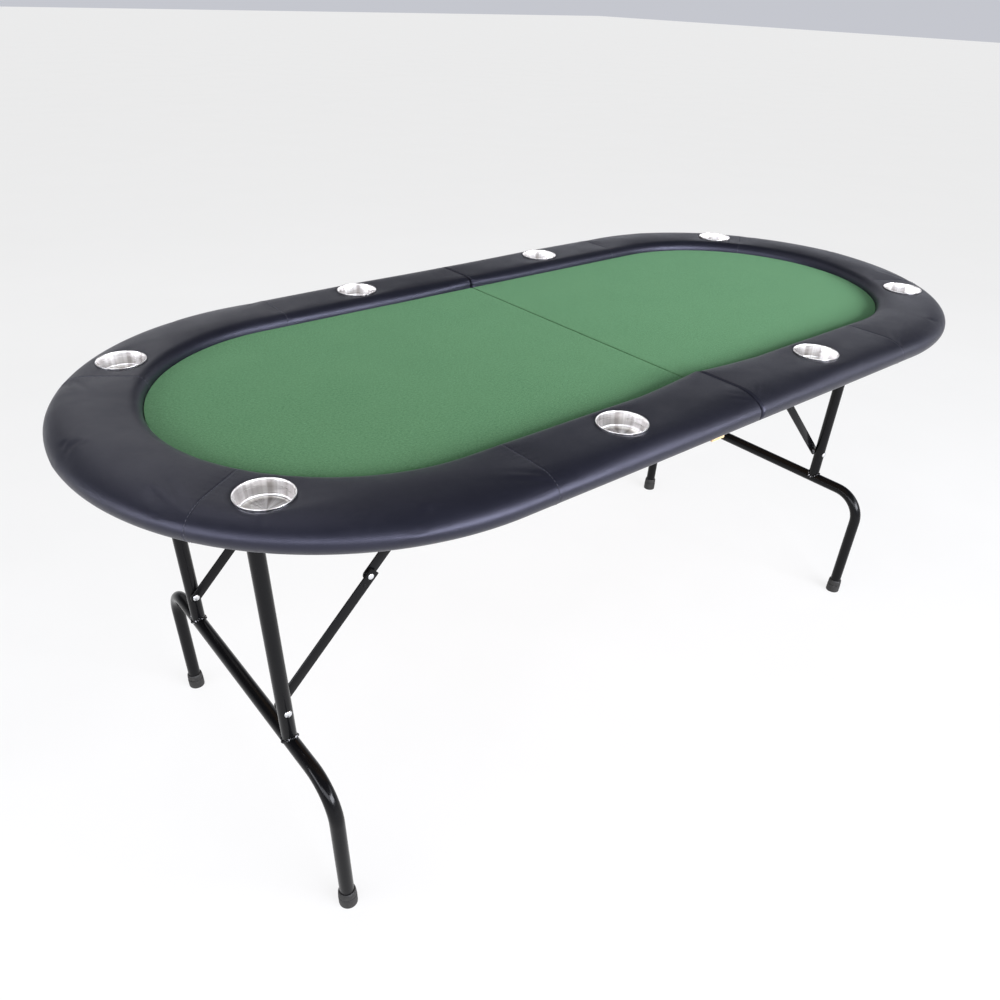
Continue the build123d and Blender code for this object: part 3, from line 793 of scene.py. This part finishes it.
def stitches(name, grid, normals, stations, profile):
    """Short threads laid along each seam, over the top and down the outside."""
    shape = Builder()
    for seam in SEAMS:
        row = int(np.argmin(np.abs(stations - seam)))
        line, up = grid[row], normals[row]
        visible = np.flatnonzero(profile[:, 1] > UNDER + 3 * MM)
        line, up = line[visible], up[visible]
        run = run_lengths(line)
        start = STITCH_START
        while start + STITCH_LENGTH < run[-1]:
            path = []
            sizes = []
            for i in range(6):
                t = i / 5
                at = start + STITCH_LENGTH * t
                point = np.array([np.interp(at, run, line[:, k]) for k in range(3)])
                lift = np.array([np.interp(at, run, up[:, k]) for k in range(3)])
                path.append(Vector(point + lift * (0.25 + 0.35 * math.sin(math.pi * t)) * MM))
                sizes.append(THREAD_RADIUS * (0.55 + 0.45 * math.sin(math.pi * t)))
            shape.sweep(path, sizes, segments=8)
            start += STITCH_LENGTH + STITCH_GAP
    return shape.make(name)


def make_rail(side_name, seed):
    """The padded rail of one half, with its seams, cup holes and stitching."""
    side = SIDES[side_name]
    stations = np.linspace(0, RAIL_LENGTH, int(RAIL_LENGTH / SIM_STEP) + 1)
    for seam in SEAMS:
        stations[np.argmin(np.abs(stations - seam))] = seam
    profile = rail_profile(PROFILE_SIM)
    grid = rail_grid(side, stations, profile)
    normals = grid_normals(grid, side)
    pins = rail_pins(side_name, grid, stations, profile)
    moved = inflate(grid, pins, side) - grid
    push = np.einsum("ijk,ijk->ij", moved, normals)
    push *= BULGE / max(np.percentile(push, 97), 1e-6)
    push = np.clip(push, -1 * MM, BULGE_CAP)
    grid = grid + normals * push[..., None]
    grid = swell_ends(grid, stations, profile, side_name)
    fine = fine_stations()
    grid = resample(grid, np.interp(fine, stations, np.arange(len(stations))))
    places = np.linspace(0, PROFILE_SIM - 1, PROFILE_FINE)
    grid = resample(grid.transpose(1, 0, 2), places).transpose(1, 0, 2)
    fine_profile = rail_profile(PROFILE_FINE)
    normals = grid_normals(grid, side)
    grid = stitched(grid, normals, fine, fine_profile, side_name, seed)
    grid = soften_end(grid, normals, fine, fine_profile, END_ROUND[side_name])
    grid = sink_rims(pucker(grid, normals, fine, fine_profile), side_name)
    rail = close_rail(f"padded_rail_{side_name}", grid)
    bore_cups(rail, side_name)
    rail.data.shade_smooth()
    sharpen(rail, 50)
    body = f"{side_name}_half"
    finish_piece(rail, body, "black_vinyl", f"rail_pad_{side_name}")
    sewn = stitches(f"rail_stitching_{side_name}", grid, normals, fine, fine_profile)
    finish_piece(sewn, body, "black_vinyl", material=THREAD)


# ---- Playing cloth ----
CLOTH_THICK = 1.4 * MM
CLOTH_EDGE = 0.4 * MM
FOLD_ROUND = 3.0 * MM
CLOTH_TUCK = 12 * MM


def cloth_half_width(x):
    """How far the cloth reaches from the middle line at a distance x from the fold."""
    radius = INNER - CLOTH_EDGE
    past = np.maximum(x - ARC_X, 0)
    return np.sqrt(np.maximum(radius**2 - past**2, 0))


def make_cloth(side_name, seed):
    """Cloth stretched over the foam and turned down into the fold."""
    side = SIDES[side_name]
    radius = INNER - CLOTH_EDGE
    start = MEETING_GAP
    turned = [(start, -CLOTH_TUCK), (start, -CLOTH_TUCK / 2), (start, -FOLD_ROUND)]
    for i in range(1, 7):
        turn = math.pi / 2 * i / 6
        turned.append((start + FOLD_ROUND * (1 - math.cos(turn)), -FOLD_ROUND * (1 - math.sin(turn))))
    flat = np.linspace(start + FOLD_ROUND, ARC_X, 70)[1:]
    end = ARC_X + radius * np.sin(np.linspace(0, math.pi / 2, 60))[1:]
    xs = np.concatenate([[p[0] for p in turned], flat, end[:-1]])
    drop = np.concatenate([[p[1] for p in turned], np.zeros(len(flat) + len(end) - 1)])
    columns = 91
    across = np.sin(np.linspace(-1, 1, columns) * math.pi / 2)
    across = 0.6 * np.linspace(-1, 1, columns) + 0.4 * across
    widths = cloth_half_width(xs)
    x = np.repeat(xs[:, None], columns, axis=1)
    y = widths[:, None] * across[None, :]
    rng = np.random.default_rng(seed)
    waves = np.zeros_like(x)
    for _ in range(7):
        kx, ky = rng.uniform(-1, 1, 2) * 2 * math.pi / 0.22
        waves += np.sin(kx * x + ky * y + rng.uniform(0, 6.28)) * 0.05 * MM
    z = CLOTH_Z + drop[:, None] + waves
    top = np.stack([side * x, y, z], axis=-1)
    under = top.copy()
    under[..., 2] -= CLOTH_THICK
    below = drop < -FOLD_ROUND * 0.99
    under[below, :, 2] += CLOTH_THICK
    under[..., 0] += side * CLOTH_THICK * np.clip(-drop / FOLD_ROUND, 0, 1)[:, None]
    rows = len(xs)
    verts = np.concatenate([top.reshape(-1, 3), under.reshape(-1, 3)])
    tip_x = side * (ARC_X + radius)
    verts = np.concatenate([verts, [[tip_x, 0, CLOTH_Z], [tip_x, 0, CLOTH_Z - CLOTH_THICK]]])
    size = rows * columns
    faces = grid_faces(rows, columns)
    faces += [tuple(i + size for i in reversed(face)) for face in grid_faces(rows, columns)]
    rim = list(range(columns))
    rim += [i * columns + columns - 1 for i in range(1, rows)]
    rim += [2 * size]
    rim += [i * columns for i in range(rows - 1, 0, -1)]
    lower = [2 * size + 1 if i == 2 * size else i + size for i in rim]
    for i in range(len(rim)):
        k = (i + 1) % len(rim)
        faces.append((rim[i], rim[k], lower[k], lower[i]))
    last = (rows - 1) * columns
    for j in range(columns - 1):
        faces.append((last + j, 2 * size, last + j + 1))
        faces.append((size + last + j, size + last + j + 1, 2 * size + 1))
    cloth = face_outward(add_mesh(f"playing_surface_{side_name}", verts, faces))
    sharpen(cloth, 60)
    finish_piece(cloth, f"{side_name}_half", "green_cloth", f"playing_cloth_{side_name}")


# ---- Cup holders ----
CUP_MOUTH = 37.1 * MM
CUP_RIM = 38.6 * MM
CUP_SKIN = 0.6 * MM
CUP_DEPTH = 24 * MM
CUP_BASE = 34.4 * MM
CUP_CORNER = 5 * MM
BEAD = 0.75 * MM


def cup_profile(floor, rim):
    """Half section of a spun steel cup: flat floor, round corner, leaning wall, rolled rim."""
    profile = [(0, floor)]
    for part in (0.3, 0.6, 0.85):
        profile.append(((CUP_BASE - CUP_CORNER) * part, floor))
    for i in range(13):
        turn = math.radians(-90 + 84 * i / 12)
        reach = CUP_CORNER * math.cos(turn)
        profile.append((CUP_BASE - CUP_CORNER + reach, floor + CUP_CORNER * (1 + math.sin(turn))))
    wall_start = floor + CUP_CORNER
    for part in (0.25, 0.5, 0.75, 0.95):
        reach = CUP_BASE + (CUP_MOUTH - CUP_BASE) * part
        profile.append((reach, wall_start + (rim - BEAD - wall_start) * part))
    for i in range(1, 12):
        turn = math.radians(150 - 250 * i / 11)
        profile.append((CUP_RIM - BEAD + BEAD * math.cos(turn), rim - BEAD + BEAD * math.sin(turn)))
    profile.append((CUP_MOUTH + CUP_SKIN, rim - 2.6 * MM))
    for i in range(9):
        turn = math.radians(-5 - 85 * i / 8)
        reach = (CUP_CORNER + CUP_SKIN) * math.cos(turn)
        drop = (CUP_CORNER + CUP_SKIN) * math.sin(turn)
        profile.append((CUP_BASE - CUP_CORNER + reach, floor + CUP_CORNER + drop))
    profile.append((0, floor - CUP_SKIN))
    return profile


def make_cups(side_name):
    """The four cups of one half, set into the top of the rail."""
    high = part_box(f"cup_holder_{side_name}_inner_near")[1]
    profile = cup_profile(CUP_SKIN - CUP_DEPTH, high.z - TOP)
    for centre, place in cup_centres(side_name):
        shape = Builder()
        shape.lathe(profile, Matrix.Identity(4), segments=96)
        cup = shape.make(f"steel_cup_{side_name}_{place}")
        cup.location = (centre.x, centre.y, TOP)
        finish_piece(cup, f"{side_name}_half", "stainless", f"cup_holder_{side_name}_{place}")


# ---- Legs ----
def leg_point(side, y, height, out=0.0):
    """A point of the leaning leg frame at a height above the floor."""
    return Vector((side * (LEG_BASE_X + LEG_SLOPE * height + out), y, height))


def leg_up(side):
    """The direction in which a leg frame leans upward."""
    return Vector((side * LEG_SLOPE, 0, 1)).normalized()


def make_leg_tube(side_name):
    """The U-shaped tube of one leg, standing on its two ends."""
    side = SIDES[side_name]
    heights = (6 * MM, 120 * MM)
    path = [leg_point(side, -FOOT_Y, height) for height in heights]
    for sign in (-1, 1):
        for i in range(17):
            turn = math.pi / 2 * (i / 16 if sign < 0 else 1 - i / 16)
            y = sign * (FOOT_Y - BEND_RADIUS * (1 - math.cos(turn)))
            path.append(leg_point(side, y, CROSS_Z - BEND_RADIUS * (1 - math.sin(turn))))
    path += [leg_point(side, FOOT_Y, height) for height in reversed(heights)]
    shape = Builder()
    shape.sweep(path, TUBE_RADIUS, segments=48)
    tube = shape.make(f"bent_tube_{side_name}", 50)
    finish_piece(tube, f"{side_name}_leg", "black_steel", f"leg_tube_{side_name}")


TUBE_EDGE = 0.5 * MM


def make_uprights(side_name):
    """The two tubes that stand on the cross tube, with their weld beads."""
    side = SIDES[side_name]
    up = leg_up(side)
    tubes, welds = Builder(), Builder()
    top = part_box(f"leg_uprights_{side_name}")[1].z - 1.0 * MM
    for sign in ENDS.values():
        y = sign * UPRIGHT_Y
        rings = []
        for height in (CROSS_Z + 1 * MM, CROSS_Z + 60 * MM, top - 60 * MM, top - TUBE_EDGE, top):
            radius = TUBE_RADIUS - (TUBE_EDGE if height == top else 0)
            place = axes(leg_point(side, y, height), (0, 1, 0), up)
            rings.append([place @ Vector((*point, 0)) for point in circle(radius, 48)])
        tubes.rings(rings)
        place = axes(leg_point(side, y, CROSS_Z), (0, 1, 0), up)
        path, sizes = [], []
        for j in range(145):
            turn = 2 * math.pi * j / 144
            lump = 0.5 * math.sin(9 * turn + sign) + 0.3 * math.sin(17 * turn) + 0.2 * math.sin(29 * turn)
            saddle = math.sqrt(max(TUBE_RADIUS**2 * math.cos(turn) ** 2, (2.5 * MM) ** 2))
            radius = TUBE_RADIUS + (0.6 + 0.3 * lump) * MM
            height = saddle + (0.9 + 0.4 * lump) * MM
            path.append(place @ Vector((radius * math.cos(turn), radius * math.sin(turn), height)))
            sizes.append((2.0 + 0.7 * lump) * MM)
        welds.sweep(path, sizes, segments=12)
    pieces = tubes.make(f"upright_tubes_{side_name}", 50)
    body = f"{side_name}_leg"
    finish_piece(pieces, body, "black_steel", f"leg_uprights_{side_name}")
    finish_piece(welds.make(f"weld_beads_{side_name}"), body, "black_steel", material=WELD)


def make_feet(side_name):
    """Ribbed rubber caps, cut level with the floor."""
    side = SIDES[side_name]
    up = leg_up(side)
    outline = [
        (0, -3.0), (15.3, -3.0), (15.5, 2.0), (15.5, 17.0), (15.2, 18.4), (14.1, 19.0), (14.1, 20.6),
        (15.1, 21.2), (15.2, 22.5), (14.6, 29.0), (13.9, 31.2), (13.1, 32.0), (12.6, 32.0), (0, 31.9),
    ]
    profile = [(r * MM, h * MM) for r, h in outline]
    shape = Builder()
    for sign in ENDS.values():
        place = axes(leg_point(side, sign * FOOT_Y, 0), (0, 1, 0), up)
        shape.lathe(profile, place, segments=48)
    for vert in shape.verts:
        vert.z = max(vert.z, 0.0)
    feet = shape.make(f"foot_caps_{side_name}", 35)
    finish_piece(feet, f"{side_name}_leg", "rubber", f"rubber_feet_{side_name}")


def domed(shape, centre, outward, radius, height):
    """A rivet head: a shallow dome with a small land round it."""
    place = axes(centre, (0, 0, 1), outward)
    profile = [(0, -0.2 * MM), (radius, -0.2 * MM), (radius, 0.25 * height)]
    for i in range(1, 9):
        turn = math.radians(90 * i / 9)
        profile.append((radius * math.cos(turn) * 0.98, height * (0.25 + 0.75 * math.sin(turn))))
    profile.append((0, height))
    shape.lathe(profile, place, segments=32)


RIVET_INNER_Y = 163 * MM
SPACER_Y = 166 * MM
SHANK_RADIUS, SHANK_LENGTH = 3.4 * MM, 29 * MM
SPACER_RADIUS, SPACER_THICK = 6 * MM, 2.2 * MM


def pin(radius, length):
    """Half section of a plain round pin."""
    return [(0, 0), (radius, 0), (radius, length), (0, length)]


def make_brace_rivets(side_name):
    """The rivets through the uprights that the lower links turn on."""
    side = SIDES[side_name]
    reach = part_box(f"brace_rivets_{side_name}")[1].y - 3.6 * MM
    shape = Builder()
    for sign in ENDS.values():
        centre = Vector((side * BRACE_LOW.x, 0, BRACE_LOW.z))
        outer = centre + Vector((0, sign * reach, 0))
        inner = centre + Vector((0, sign * RIVET_INNER_Y, 0))
        place = axes(inner, (0, 0, 1), (0, sign, 0))
        shape.lathe(pin(SHANK_RADIUS, SHANK_LENGTH), place, segments=24)
        spacer = axes(centre + Vector((0, sign * SPACER_Y, 0)), (0, 0, 1), (0, sign, 0))
        shape.lathe(pin(SPACER_RADIUS, SPACER_THICK), spacer, segments=32)
        domed(shape, outer, (0, sign, 0), 6.0 * MM, 3.4 * MM)
        domed(shape, inner, (0, -sign, 0), 6.0 * MM, 2.9 * MM)
    rivets = shape.make(f"upright_rivets_{side_name}", 40)
    finish_piece(rivets, f"{side_name}_leg", "zinc_steel", f"brace_rivets_{side_name}")


# ---- Braces ----
LINK_HALF = 9.5 * MM
LINK_THICK = 3 * MM
DIMPLE_FROM_JOINT = 17 * MM
COLLAR_RADIUS = 6 * MM


def bar_outline(length, half, square_end=False):
    """A bar from (0, 0) to (length, 0), anticlockwise, with round ends or a sheared far end."""
    points = []
    if square_end:
        reach, corner = length + half * 1.15, 1.2 * MM
        points += [(reach - corner, -half), (reach, -half + corner)]
        points += [(reach, half - corner), (reach - corner, half)]
    ends = ((0, 90),) if square_end else ((length, -90), (0, 90))
    for centre, first in ends:
        for i in range(25):
            turn = math.radians(first + 180 * i / 24)
            points.append((centre + half * math.cos(turn), half * math.sin(turn)))
    return points


def make_braces(side_name):
    """The two folding braces of one half: lower link, upper link and the rivet between them."""
    side = SIDES[side_name]
    for end, sign in ENDS.items():
        name = f"{side_name}_{end}"
        low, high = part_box(f"lower_link_{name}")
        rivet_low, rivet_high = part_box(f"brace_joint_rivet_{name}")
        middle = (rivet_low + rivet_high) / 2
        start = Vector((side * BRACE_LOW.x, 0, BRACE_LOW.z))
        joint = Vector((middle.x, 0, middle.z))
        top = Vector((side * BRACE_HIGH.x, 0, BRACE_HIGH.z))
        inner_y = min(abs(low.y), abs(high.y))
        shape = Builder()
        along = joint - start
        place = axes(start + Vector((0, sign * inner_y, 0)), along, (0, sign, 0))
        shape.plate(bar_outline(along.length, LINK_HALF, True), place, LINK_THICK)
        dimple = start + along * (1 - DIMPLE_FROM_JOINT / along.length)
        domed(shape, dimple + Vector((0, sign * (inner_y + LINK_THICK), 0)), (0, sign, 0), 2.8 * MM, 1.2 * MM)
        link = shape.make(f"lower_bar_{name}", 40)
        finish_piece(link, f"{name}_lower_link", "black_steel", f"lower_link_{name}")
        rivet = Builder()
        outer = joint + Vector((0, sign * (inner_y + LINK_THICK), 0))
        domed(rivet, outer, (0, sign, 0), 5 * MM, 1.3 * MM)
        inside = joint + Vector((0, sign * min(abs(rivet_low.y), abs(rivet_high.y)), 0))
        reach = inner_y - min(abs(rivet_low.y), abs(rivet_high.y)) + LINK_THICK
        collar = axes(inside, (0, 0, 1), (0, sign, 0))
        rivet.lathe(pin(COLLAR_RADIUS, reach - LINK_THICK), collar, 32)
        piece = rivet.make(f"joint_rivet_{name}", 40)
        finish_piece(piece, f"{name}_lower_link", "zinc_steel", f"brace_joint_rivet_{name}")
        low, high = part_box(f"upper_link_{name}")
        inner_y = min(abs(low.y), abs(high.y))
        shape = Builder()
        along = joint - top
        place = axes(top + Vector((0, sign * inner_y, 0)), along, (0, sign, 0))
        shape.plate(bar_outline(along.length, LINK_HALF), place, LINK_THICK)
        link = shape.make(f"upper_bar_{name}", 40)
        finish_piece(link, f"{name}_upper_link", "black_steel", f"upper_link_{name}")
        head = Builder()
        domed(head, joint + Vector((0, sign * inner_y, 0)), (0, -sign, 0), 5.5 * MM, 2.6 * MM)
        piece = head.make(f"joint_rivet_head_{name}", 40)
        finish_piece(piece, f"{name}_upper_link", "zinc_steel")


# ---- CAD nodes that stay ----
def paint_nodes():
    """Put the final materials on the CAD nodes by their slots."""
    slots = {entry["node"]: entry["material_slot"] for entry in frame["record"]["subparts"]}
    for node, obj in frame["nodes"].items():
        material = MATERIALS[slots[node]]
        if not obj.material_slots:
            obj.data.materials.append(material)
        for place in obj.material_slots:
            place.link = "OBJECT"
            place.material = material


# ---- Studio ----
def softbox(name, azimuth, elevation, width, height, power, colour=(1, 1, 1), distance=3.4):
    """A soft light that looks at the table top from a direction given in degrees."""
    turn, rise = math.radians(azimuth), math.radians(elevation)
    aim = Vector((0, 0, 0.7))
    away = Vector((math.cos(turn) * math.cos(rise), math.sin(turn) * math.cos(rise), math.sin(rise)))
    data = bpy.data.lights.new(name, "AREA")
    data.shape = "RECTANGLE"
    data.size, data.size_y = width, height
    data.energy = power
    data.color = colour
    lamp = bpy.data.objects.new(name, data)
    lamp.location = aim + away * distance
    lamp.rotation_euler = (-away).to_track_quat("-Z", "Y").to_euler()
    lamp.visible_camera = False
    scene.collection.objects.link(lamp)
    return lamp


COOL = (0.90, 0.92, 1.0)
HORIZON = 0.62
OVERHEAD = 0.09
GLOW_FROM, GLOW_TO = 0.12, 0.36
FLOOR_HALF = 40.0


def studio():
    """A wide pale floor, a bright horizon all round and a few large soft lights."""
    corners = [(x * FLOOR_HALF, y * FLOOR_HALF, 0) for x, y in ((-1, -1), (1, -1), (1, 1), (-1, 1))]
    floor = add_mesh("floor", corners, [(0, 1, 2, 3)], False)
    n = Nodes("studio_floor")
    n.colour(n.mix(n.ramp(n.noise(2.0), 0.3, 0.7), (0.13, 0.13, 0.13), (0.15, 0.15, 0.15)))
    n.set(Roughness=0.7, Specular_IOR_Level=0.1, Emission_Color=(1, 1, 1, 1), Emission_Strength=0.80)
    floor.data.materials.append(n.material)
    world = bpy.data.worlds.new("studio")
    world.use_nodes = True
    tree = world.node_tree
    height = tree.nodes.new("ShaderNodeSeparateXYZ")
    tree.links.new(tree.nodes.new("ShaderNodeTexCoord").outputs["Generated"], height.inputs[0])
    glow = tree.nodes.new("ShaderNodeMapRange")
    glow.inputs["From Min"].default_value = GLOW_FROM
    glow.inputs["From Max"].default_value = GLOW_TO
    glow.inputs["To Min"].default_value = HORIZON
    glow.inputs["To Max"].default_value = OVERHEAD
    tree.links.new(height.outputs["Z"], glow.inputs["Value"])
    tree.links.new(glow.outputs["Result"], tree.nodes["Background"].inputs["Strength"])
    tree.nodes["Background"].inputs["Color"].default_value = (*COOL, 1)
    scene.world = world
    softbox("left_strip", 180, 14, 2.6, 0.8, 62, COOL)
    softbox("near_left_strip", 225, 20, 2.6, 1.1, 60, COOL)
    softbox("near_strip", 278, 18, 2.8, 1.0, 210, COOL)
    softbox("near_right_strip", 315, 20, 2.6, 1.0, 24, COOL)
    softbox("right_strip", 30, 13, 2.6, 0.7, 4, COOL)
    softbox("far_light", 90, 27, 1.9, 1.9, 8)
    softbox("high_light", 125, 58, 1.6, 1.6, 18)
    cups = bpy.data.collections.new("lit_by_cup_light")
    for obj in scene.collection.objects:
        if obj.name.startswith("steel_cup"):
            cups.objects.link(obj)
    for lamp in (
        softbox("cup_light", 0, 90, 3.6, 3.6, 40, distance=2.5),
        softbox("cup_back_light", 45, 33, 2.2, 1.4, 9, distance=2.5),
    ):
        lamp.light_linking.receiver_collection = cups


# ---- Camera ----
CAMERA_AZIMUTH = -39.831
CAMERA_ELEVATION = 32.1
CAMERA_ROLL = 2.235
CAMERA_TARGET = Vector((-0.15695, 0.02261, 0.380))
CAMERA_DISTANCE = 1.69646
CAMERA_LENS = 30.127
CAMERA_SHIFT = (0.0089, 0.0116)


def make_camera():
    """The camera that stands where the photo was taken from."""
    azimuth, elevation = math.radians(CAMERA_AZIMUTH), math.radians(CAMERA_ELEVATION)
    level = math.cos(elevation)
    back = Vector((math.sin(azimuth) * level, -math.cos(azimuth) * level, math.sin(elevation)))
    right = (-back).cross(Vector((0, 0, 1))).normalized()
    up = right.cross(-back)
    roll = math.radians(CAMERA_ROLL)
    right, up = right * math.cos(roll) + up * math.sin(roll), up * math.cos(roll) - right * math.sin(roll)
    data = bpy.data.cameras.new("camera")
    data.sensor_width = 36
    data.lens = CAMERA_LENS
    data.shift_x, data.shift_y = CAMERA_SHIFT
    data.clip_start, data.clip_end = 0.05, 50
    camera = bpy.data.objects.new("camera", data)
    rotation = Matrix((right, up, back)).transposed().to_4x4()
    camera.matrix_world = Matrix.Translation(CAMERA_TARGET + back * CAMERA_DISTANCE) @ rotation
    scene.collection.objects.link(camera)
    scene.camera = camera


scene.view_settings.view_transform = "Standard"
paint_nodes()
for number, name in enumerate(SIDES):
    make_rail(name, 11 + number)
    make_cloth(name, 21 + number)
    make_cups(name)
    make_leg_tube(name)
    make_uprights(name)
    make_feet(name)
    make_brace_rivets(name)
    make_braces(name)
studio()
make_camera()
